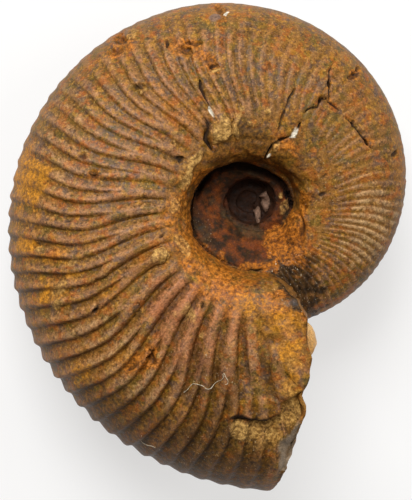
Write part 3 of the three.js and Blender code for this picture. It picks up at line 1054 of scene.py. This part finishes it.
def mottled(tree, colour, mask, noises):
    """Other minerals in blots of a millimetre or two, grime and painted shade along the feet of the ribs,
    and specks.
    """
    for name, low, high, amount, stain in (
        ("slate", 0.52, 0.62, 0.66, "#4C3C34"),
        ("olive", 0.52, 0.62, 0.60, "#54450E"),
        ("rusty", 0.53, 0.64, 0.68, "#8A4810"),
        ("golden", 0.56, 0.64, 0.50, "#946718"),
        ("clouds", 0.52, 0.68, 0.35, "#8A5413"),
    ):
        factor = add(tree, RANGE, [noises[name], low, high, 0.0, amount])
        colour = add(tree, MIX, [factor, colour, linear(stain)], data_type="RGBA")
    # A thin dark line at the feet of the ribs: grime, and painted shade under the crests.
    dirt_and_shade = add(tree, RANGE, [mask["strength"], 0.2, 0.9, 0.10, 0.75])
    dirt_and_shade = add(tree, MATH, [dirt_and_shade, mask["foot"]], operation="MULTIPLY")
    dirt_and_shade = add(tree, MATH, [dirt_and_shade, add(tree, RANGE, [noises["blots"], 0.35, 0.55])], operation="MULTIPLY")
    colour = add(tree, MIX, [dirt_and_shade, colour, linear("#352009")], data_type="RGBA")
    for name, low, high, amount, stain in (
        ("specks", 0.58, 0.68, 0.30, "#946A28"),
        ("grit", 0.64, 0.74, 0.40, "#8A7850"),
        ("specks", 0.40, 0.30, 0.50, "#2E1F0C"),
    ):
        factor = add(tree, RANGE, [noises[name], low, high, 0.0, amount])
        colour = add(tree, MIX, [factor, colour, linear(stain)], data_type="RGBA")
    return colour


def dark_and_shaded_inside(tree, colour, mask, noises):
    """The umbilicus is darker, partly its own dark stone and partly painted shade of its depth: brown with
    slate-green patches, and almost coal-dark in its pit.
    """
    inside = add(tree, RANGE, [noises["blots"], 0.40, 0.60])
    inside = add(tree, MIX, [inside, linear("#130803"), linear("#5A2807")], data_type="RGBA")
    factor = add(tree, RANGE, [noises["patches"], 0.52, 0.60, 0.0, 0.6])
    inside = add(tree, MIX, [factor, inside, linear("#2A281A")], data_type="RGBA")
    factor = add(tree, MATH, [mask["well"], 0.9], operation="MULTIPLY")
    colour = add(tree, MIX, [factor, colour, inside], data_type="RGBA")
    factor = add(tree, MATH, [mask["pit"], 0.93], operation="MULTIPLY")
    return add(tree, MIX, [factor, colour, linear("#1C0B02")], data_type="RGBA")


def freshly_broken(tree, colour, mask, noises):
    """The broken face: stained stone, with a cream core, and a facet of fresh grey stone."""
    factor = add(tree, MATH, [noises["blots"], 0.5, noises["patches"]], operation="MULTIPLY_ADD")
    factor = add(tree, RANGE, [factor, 0.6, 0.9])
    for name, dark, light in (
        ("broken", "#65431E", "#8E652E"),
        ("core", "#B5833F", "#D6A868"),
        ("facet", "#6C5C49", "#86745F"),
    ):
        fresh = add(tree, MIX, [factor, linear(dark), linear(light)], data_type="RGBA")
        colour = add(tree, MIX, [mask[name], colour, fresh], data_type="RGBA")
    return colour


def stained(tree, colour, mask, noises, on_crest):
    """Stains and crusts with ragged edges, each in two shades, some of them painted shade, shadow and sheen,
    and what fills pits and cracks.
    """
    uneven = add(tree, MATH, [noises["blots"], 2.4, -1.2], operation="MULTIPLY_ADD")
    uneven = add(tree, MATH, [noises["specks"], 0.8, uneven], operation="MULTIPLY_ADD")
    uneven = add(tree, MATH, [uneven, 0.6], operation="ADD")
    by_grain = add(tree, RANGE, [noises["specks"], 0.38, 0.62])
    # Some of these are painted light: shade on the shoulder and at the bottom edge, sheen on the rib crests,
    # and shadow under the mouth's lip.
    for name, share, dark, light, amount in (
        ("umber_and_shade", by_grain, "#3E2408", "#66400F", 0.75),
        ("soot_and_shade", by_grain, "#2E1D06", "#52350A", 0.70),
        ("mauve", on_crest, "#4C2A12", "#96603E", 0.70),
        ("painted_sheen", on_crest, "#6A4A24", "#A88A62", 0.60),
        ("black_and_shadow", by_grain, "#140D06", "#34220C", 0.92),
        ("rust", by_grain, "#6E3C09", "#A3611A", 0.75),
        ("ochre", by_grain, "#8A5A10", "#A97018", 0.85),
        ("crust", by_grain, "#7C5B2C", "#A8844A", 0.90),
    ):
        shade = add(tree, MIX, [share, linear(dark), linear(light)], data_type="RGBA")
        factor = add(tree, MATH, [mask[name], uneven], operation="MULTIPLY")
        factor = add(tree, RANGE, [factor, 0.3, 0.9, 0.0, amount])
        colour = add(tree, MIX, [factor, colour, shade], data_type="RGBA")
    white_dust = add(tree, RANGE, [noises["grit"], 0.70, 0.74])
    white_dust = add(tree, MATH, [white_dust, mask["black_and_shadow"]], operation="MULTIPLY")
    colour = add(tree, MIX, [white_dust, colour, linear("#958B78")], data_type="RGBA")
    for name, low, high, amount, stain in (
        # Painted shade, very dark, in pits, cracks, the cleft under the umbilical edge and along the chip's
        # edge.
        ("hollow_shade", 0.15, 0.8, 0.92, "#160B04"),
        ("calcite", 0.2, 0.7, 0.90, "#C9C2B0"),
        ("crumb", 0.3, 0.6, 0.95, "#6E5444"),
    ):
        factor = add(tree, RANGE, [mask[name], low, high, 0.0, amount])
        colour = add(tree, MIX, [factor, colour, linear(stain)], data_type="RGBA")
    return colour


def limestone():
    """Limonite-stained limestone, worn by hand and weather: satin brown, mottled in ochre and rust, with
    shade, shadow and sheen painted into its colour.
    """
    material = bpy.data.materials.new("limonite-stained limestone, worn")
    material.use_nodes = True
    tree = material.node_tree
    shader = tree.nodes["Principled BSDF"]
    mask = {
        name: add(tree, "ShaderNodeAttribute", attribute_name=name).outputs["Fac"] for name in STONE_MASKS
    }
    noises = stone_grains(tree)
    on_crest = add(tree, MATH, [mask["rib"], 0.5, noises["specks"]], operation="MULTIPLY_ADD")
    on_crest = add(tree, RANGE, [on_crest, 0.15, 0.85])
    colour = bare_stone(tree, mask, noises, on_crest)
    colour = mottled(tree, colour, mask, noises)
    colour = dark_and_shaded_inside(tree, colour, mask, noises)
    colour = freshly_broken(tree, colour, mask, noises)
    colour = stained(tree, colour, mask, noises, on_crest)

    # Each grain is a little lighter or darker than its neighbours.
    shade = add(tree, RANGE, [noises["grit"], 0.3, 0.7, 0.70, 1.28])
    by_speck = add(tree, RANGE, [noises["specks"], 0.3, 0.7, 0.74, 1.24])
    shade = add(tree, MATH, [shade, by_speck], operation="MULTIPLY")
    colour = add(tree, "ShaderNodeVectorMath", {"Vector": colour, "Scale": shade}, operation="SCALE")
    tree.links.new(colour.outputs[0], shader.inputs["Base Color"])

    # The stone is worn smooth to a satin, some grains more than others. Clay, places of painted shade and
    # the umbilicus stay dull.
    dull = add(tree, MATH, [mask["crust"], mask["hollow_shade"]], operation="ADD")
    dull = add(tree, MATH, [dull, mask["well"]], operation="ADD")
    gloss = add(tree, RANGE, [noises["specks"], 0.35, 0.65, 0.42, 0.62])
    gloss = add(tree, MATH, [dull, 0.25, gloss], operation="MULTIPLY_ADD")
    tree.links.new(gloss.outputs[0], shader.inputs["Roughness"])
    shader.inputs["Specular IOR Level"].default_value = 0.18
    grain = add(tree, MATH, [noises["grit"], 0.5, noises["specks"]], operation="MULTIPLY_ADD")
    bump = add(tree, "ShaderNodeBump", {"Strength": 0.6, "Distance": 0.10 * MM, "Height": grain})
    bump = add(tree, "ShaderNodeBump", {
        "Strength": 0.5, "Distance": 0.20 * MM, "Height": noises["blots"], "Normal": bump,
    })
    tree.links.new(bump.outputs["Normal"], shader.inputs["Normal"])
    return material


def cotton():
    """Cotton lint, off-white: loose fibres that catch the light, and are paler where they twist."""
    material = bpy.data.materials.new("cotton lint, off-white")
    material.use_nodes = True
    tree = material.node_tree
    shader = tree.nodes["Principled BSDF"]
    place = add(tree, "ShaderNodeTexCoord").outputs["Object"]
    twist = add(tree, NOISE, {"Vector": place, "Scale": 1 / (0.4 * MM), "Detail": 2.0})
    colour = add(tree, RANGE, [twist, 0.35, 0.65])
    colour = add(tree, MIX, [colour, linear("#A0947A"), linear("#CCC2AC")], data_type="RGBA")
    tree.links.new(colour.outputs["Result"], shader.inputs["Base Color"])
    shader.inputs["Roughness"].default_value = 0.8
    return material


# Fibres of lint: places along them. A single cotton fibre is a third as thick, which is too fine to show.
LINT = {
    "lint-long": [
        (252.0, 0.738), (252.8, 0.722), (253.4, 0.700), (254.6, 0.688), (256.6, 0.690), (258.6, 0.686),
        (260.4, 0.668), (262.3, 0.640), (262.0, 0.622), (263.2, 0.628), (263.6, 0.650), (263.0, 0.662),
    ],
    "lint-short": [(246.0, 0.955), (246.6, 0.972), (247.8, 0.978), (249.4, 0.968), (251.0, 0.962)],
}
LINT_RADIUS = 0.03 * MM


def fibre(name, places, surface, material):
    """A loose fibre that lies on the upper flank at these places, just clear of the stone."""
    seen = seen_place(surface)
    curve = bpy.data.curves.new(name, "CURVE")
    curve.dimensions = "3D"
    curve.bevel_depth = LINT_RADIUS
    curve.bevel_resolution = 1
    curve.use_fill_caps = True
    curve.resolution_u = 6
    spline = curve.splines.new("BEZIER")
    spline.bezier_points.add(len(places) - 1)
    for count, (point, place) in enumerate(zip(spline.bezier_points, spots(places))):
        rest = surface[np.argmin(abs(seen - place))]
        point.co = Vector(rest) + Vector((0, 0, (0.12 + 0.1 * (count % 2)) * MM))
        point.handle_left_type = point.handle_right_type = "AUTO"
    thing = bpy.data.objects.new(name + " curve", curve)
    bpy.context.collection.objects.link(thing)
    piece = plain_mesh(name, thing)
    piece.data.materials.clear()
    piece.data.materials.append(material)
    return piece


def resting_place(points):
    """Where the pole of the coil lies, so that these points of the leaned coil fill the CAD node's box."""
    low, high = points.min(0), points.max(0)
    middle = (CAD_LOW + CAD_HIGH) / 2
    across, along, _ = (low + high) / 2
    return Vector((middle.x - across, middle.y - along, -low[2] - CONTACT_WEAR))


def place_camera(pole):
    """A camera that looks at the laid-down coil as EYE does at the flat one."""
    data = bpy.data.cameras.new("camera")
    data.lens = LENS
    data.sensor_width = SENSOR
    data.clip_start = 0.01
    data.clip_end = 10
    camera = bpy.data.objects.new("camera", data)
    bpy.context.collection.objects.link(camera)
    bpy.context.scene.camera = camera
    turn = LEAN @ Matrix((VIEW_RIGHT, VIEW_UP, VIEW_BACK)).transposed()
    camera.matrix_world = Matrix.Translation(pole + LEAN @ EYE) @ turn.to_4x4()


def light_studio():
    """A white floor and world, with one large soft lamp at the upper left and a weaker one at the right."""
    world = bpy.data.worlds.new("studio")
    world.use_nodes = True
    world.node_tree.nodes["Background"].inputs["Color"].default_value = linear("#FFF3E2")
    world.node_tree.nodes["Background"].inputs["Strength"].default_value = 0.27
    bpy.context.scene.world = world
    for name, place, size, power in (
        ("key lamp", (-0.09, 0.29, 0.32), 0.20, 2.8),
        ("fill lamp", (0.33, 0.1, 0.3), 0.3, 0.65),
    ):
        data = bpy.data.lights.new(name, "AREA")
        data.size = size
        data.energy = power
        lamp = bpy.data.objects.new(name, data)
        lamp.location = place
        lamp.rotation_euler = (-Vector(place)).to_track_quat("-Z", "Y").to_euler()
        bpy.context.collection.objects.link(lamp)
    mesh = bpy.data.meshes.new("floor")
    half = 1.5
    corners = [(-half, -half, 0), (half, -half, 0), (half, half, 0), (-half, half, 0)]
    mesh.from_pydata(corners, [], [(0, 1, 2, 3)])
    floor = bpy.data.objects.new("floor", mesh)
    bpy.context.collection.objects.link(floor)

    # Matt card that is lit from below as well, so that the floor stays pale and shadows are soft.
    card = bpy.data.materials.new("white card, matt")
    card.use_nodes = True
    shader = card.node_tree.nodes["Principled BSDF"]
    shader.inputs["Base Color"].default_value = linear("#8E8E8E")
    shader.inputs["Roughness"].default_value = 0.9
    shader.inputs["Emission Color"].default_value = linear("#FFFFFF")
    shader.inputs["Emission Strength"].default_value = 0.60
    mesh.materials.append(card)


bpy.context.scene.view_settings.view_transform = "Standard"

stone = limestone()
ammonite = grown("ammonite-cast", coil_tree(stone), COIL_INPUTS)
weather(ammonite.data)
ammonite = thin_out(ammonite)
surface = rows(ammonite.data.vertices, "co")
cotton_lint = cotton()
fibres = [fibre(name, places, surface[surface[:, 2] > 0], cotton_lint) for name, places in LINT.items()]

pole = resting_place(surface @ np.array(LEAN.transposed()))
for piece in (ammonite, *fibres):
    points = rows(piece.data.vertices, "co") @ np.array(LEAN.transposed()) + np.array(pole)
    points[:, 2] = np.maximum(points[:, 2], 0)
    piece.data.vertices.foreach_set("co", points.astype(np.float32).ravel())
    piece.data.update()

place_camera(pole)
light_studio()
for piece in (ammonite, *fibres):
    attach(piece, "root")
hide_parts("ammonite")
